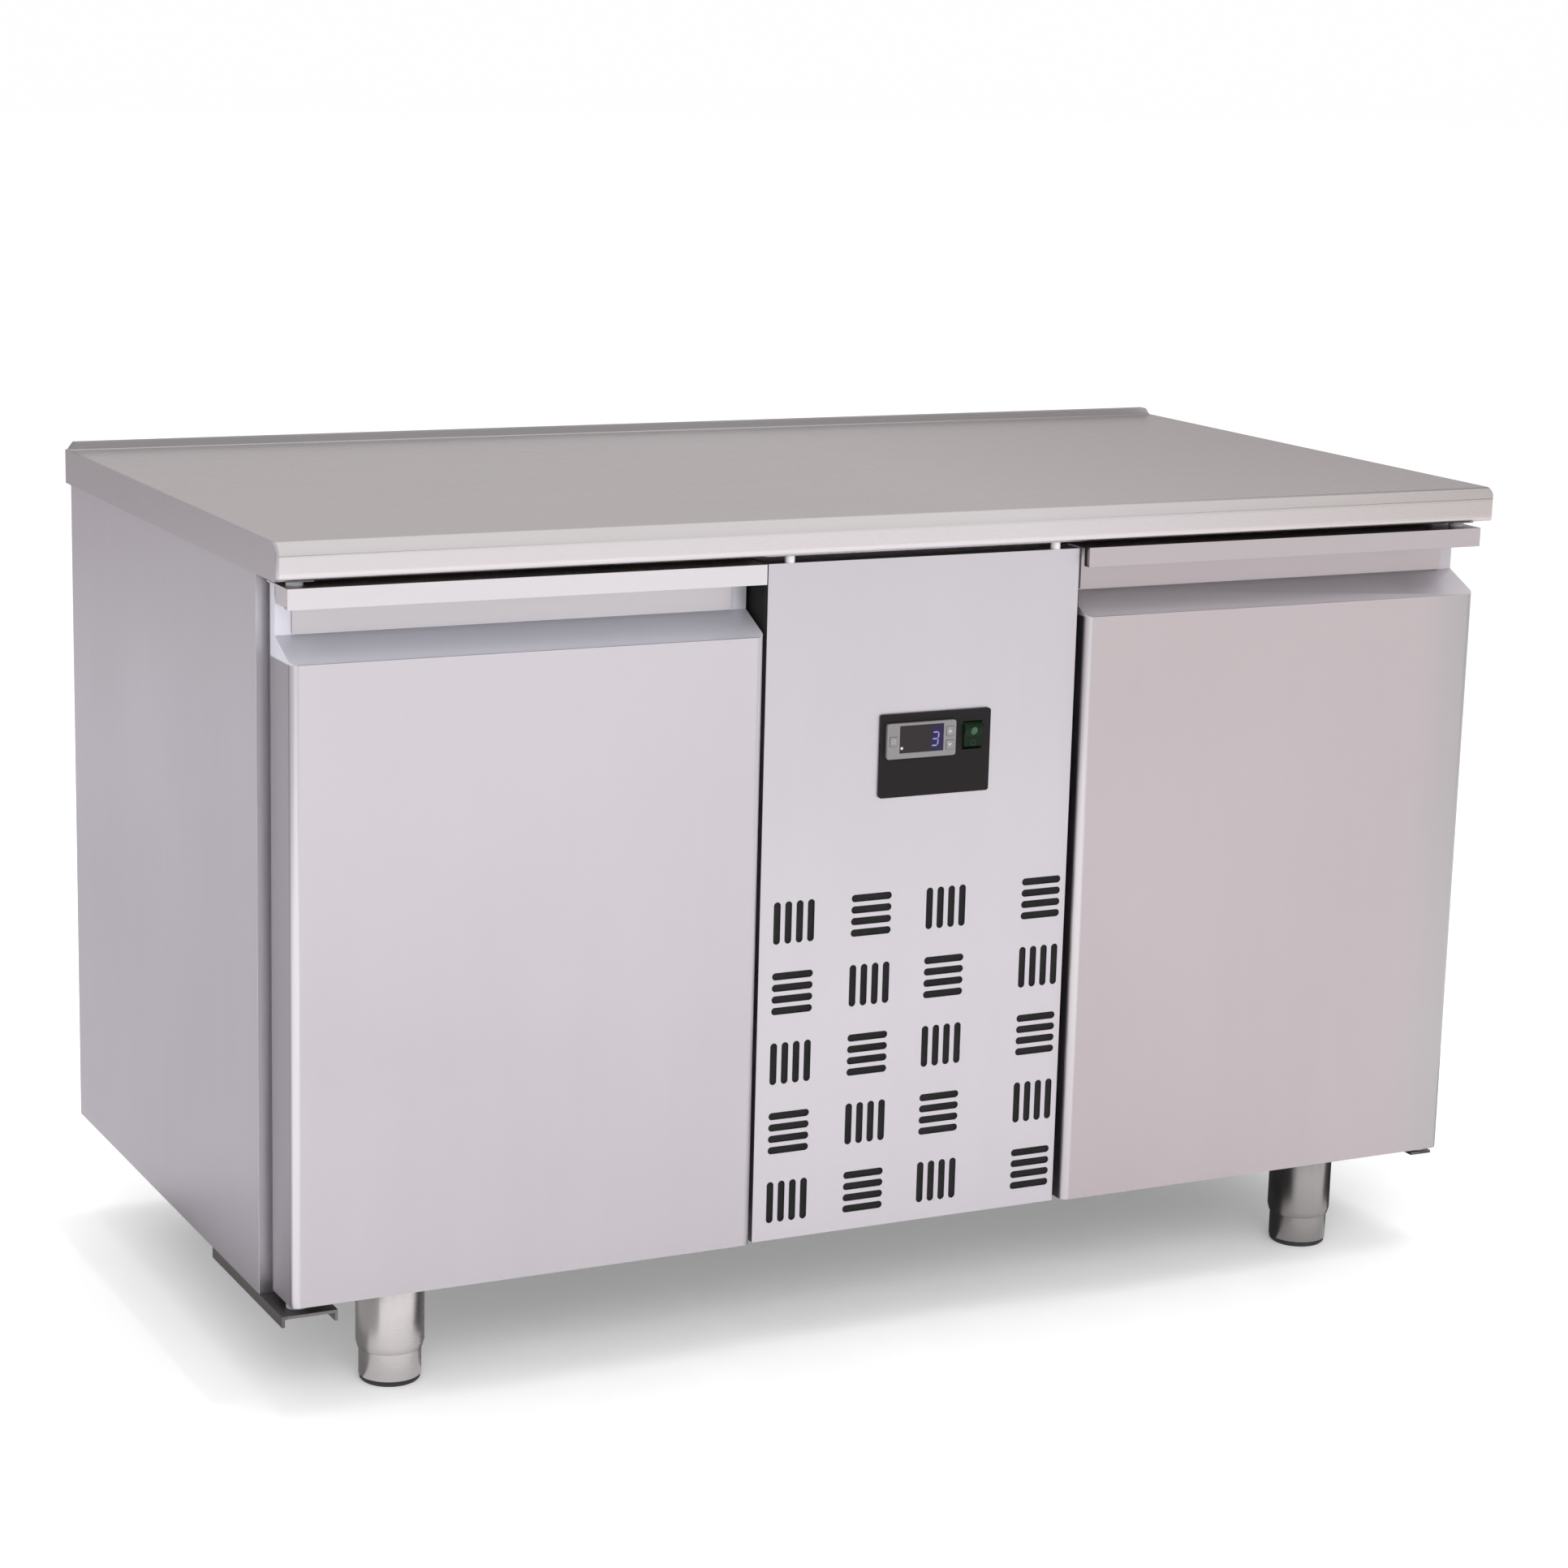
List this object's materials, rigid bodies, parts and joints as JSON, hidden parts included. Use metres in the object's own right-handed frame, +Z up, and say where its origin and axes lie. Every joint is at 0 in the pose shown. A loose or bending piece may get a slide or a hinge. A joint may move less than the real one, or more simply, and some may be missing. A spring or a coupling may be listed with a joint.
{
  "type": "undercounter refrigerator",
  "caption": "Stainless undercounter refrigerator with a flat worktop, hinged doors with recessed grips, a slotted centre panel with controls, and round levelling legs.",
  "frame": {"origin": "middle of the counter's footprint, on the floor under the rubber pads", "axes": "+X to the counter's right as seen by someone facing its doors, -Y out of the door fronts, +Z up"},
  "size_m": [1.36, 0.7, 0.858],
  "materials": {
    "satin_steel": "satin",
    "frame_steel": "satin",
    "galvanised": "satin",
    "bracket_steel": "satin",
    "board": "matte",
    "foam": "matte",
    "white_plastic": "satin",
    "nylon": "satin",
    "black_plastic": "satin",
    "grey_plastic": "satin",
    "key_plastic": "satin",
    "window": "gloss",
    "rocker": "gloss",
    "gasket": "matte",
    "filter_foam": "matte",
    "pad_rubber": "matte",
    "black_metal": "satin",
    "shroud_metal": "satin",
    "fins": "satin",
    "fan_plastic": "satin",
    "copper": "satin",
    "tray_plastic": "matte",
    "rod_steel": "polished"
  },
  "bodies": {
    "cabinet": {"worktop_sheet": "satin_steel", "worktop_core": "board", "dust_filter": "filter_foam", "left_side_panel": "satin_steel", "right_side_panel": "satin_steel", "back_panel": "galvanised", "base_panel": "galvanised", "front_frame": "frame_steel", "gap_strip": "black_plastic", "left_liner": "frame_steel", "right_liner": "frame_steel", "left_insulation": "foam", "right_insulation": "foam", "shelf_runners": "frame_steel", "left_shelf": "rod_steel", "right_shelf": "rod_steel", "hinge_brackets": "bracket_steel", "leg_sleeves": "satin_steel", "unit_panel": "satin_steel", "panel_spacers": "nylon", "control_bezel": "black_plastic", "controller_body": "grey_plastic", "display_window": "window", "switch_housing": "black_plastic", "unit_tray": "galvanised", "compressor": "black_metal", "condenser_coil": "fins", "fan_shroud": "shroud_metal", "fan_motors": "black_metal", "evaporator_housing": "white_plastic", "evaporator_coil": "fins", "condensate_tray": "tray_plastic", "refrigerant_pipes": "copper", "cable_gland": "black_plastic"},
    "left_door": {"left_door_skin": "satin_steel", "left_door_foam": "foam", "left_door_liner": "white_plastic", "left_door_gasket": "gasket", "left_door_grip": "satin_steel", "left_door_bushes": "nylon"},
    "right_door": {"right_door_skin": "satin_steel", "right_door_foam": "foam", "right_door_liner": "white_plastic", "right_door_gasket": "gasket", "right_door_grip": "satin_steel", "right_door_bushes": "nylon"},
    "condenser_fan": {"condenser_fan": "fan_plastic"},
    "evaporator_fan": {"evaporator_fan": "fan_plastic"},
    "key_set": {"key_set": "key_plastic"},
    "key_up": {"key_up": "key_plastic"},
    "key_down": {"key_down": "key_plastic"},
    "power_switch": {"power_switch": "rocker"},
    "foot_front_left": {"foot_front_left": "satin_steel", "pad_front_left": "pad_rubber"},
    "foot_front_right": {"foot_front_right": "satin_steel", "pad_front_right": "pad_rubber"},
    "foot_rear_left": {"foot_rear_left": "satin_steel", "pad_rear_left": "pad_rubber"},
    "foot_rear_right": {"foot_rear_right": "satin_steel", "pad_rear_right": "pad_rubber"}
  },
  "joints": [
    {"name": "left_door_hinge", "type": "hinge", "parent": "cabinet", "child": "left_door", "pos_m": [-0.653, -0.322, 0.45], "axis": [0, 0, -1], "range_deg": [0, 105]},
    {"name": "right_door_hinge", "type": "hinge", "parent": "cabinet", "child": "right_door", "pos_m": [0.653, -0.322, 0.45], "axis": [0, 0, 1], "range_deg": [0, 105]},
    {"name": "condenser_fan_spin", "type": "hinge", "parent": "cabinet", "child": "condenser_fan", "pos_m": [0, -0.175, 0.265], "axis": [0, 1, 0], "continuous": true},
    {"name": "evaporator_fan_spin", "type": "hinge", "parent": "cabinet", "child": "evaporator_fan", "pos_m": [0, 0.149, 0.61], "axis": [0, 1, 0], "continuous": true},
    {"name": "key_set_press", "type": "slide", "parent": "cabinet", "child": "key_set", "axis": [0, 1, 0], "range_m": [0, 0.0008], "stiffness_N_per_m": 900, "springref_m": -0.0008},
    {"name": "key_up_press", "type": "slide", "parent": "cabinet", "child": "key_up", "axis": [0, 1, 0], "range_m": [0, 0.0008], "stiffness_N_per_m": 900, "springref_m": -0.0008},
    {"name": "key_down_press", "type": "slide", "parent": "cabinet", "child": "key_down", "axis": [0, 1, 0], "range_m": [0, 0.0008], "stiffness_N_per_m": 900, "springref_m": -0.0008},
    {"name": "power_switch_rock", "type": "hinge", "parent": "cabinet", "child": "power_switch", "pos_m": [0.0565, -0.333, 0.622], "axis": [-1, 0, 0], "range_deg": [0, 16]},
    {"name": "foot_front_left_turn", "type": "hinge", "parent": "cabinet", "child": "foot_front_left", "pos_m": [-0.538, -0.268, 0.05], "axis": [0, 0, 1], "continuous": true},
    {"name": "foot_front_right_turn", "type": "hinge", "parent": "cabinet", "child": "foot_front_right", "pos_m": [0.538, -0.268, 0.05], "axis": [0, 0, 1], "continuous": true},
    {"name": "foot_rear_left_turn", "type": "hinge", "parent": "cabinet", "child": "foot_rear_left", "pos_m": [-0.538, 0.25, 0.05], "axis": [0, 0, 1], "continuous": true},
    {"name": "foot_rear_right_turn", "type": "hinge", "parent": "cabinet", "child": "foot_rear_right", "pos_m": [0.538, 0.25, 0.05], "axis": [0, 0, 1], "continuous": true}
  ]
}
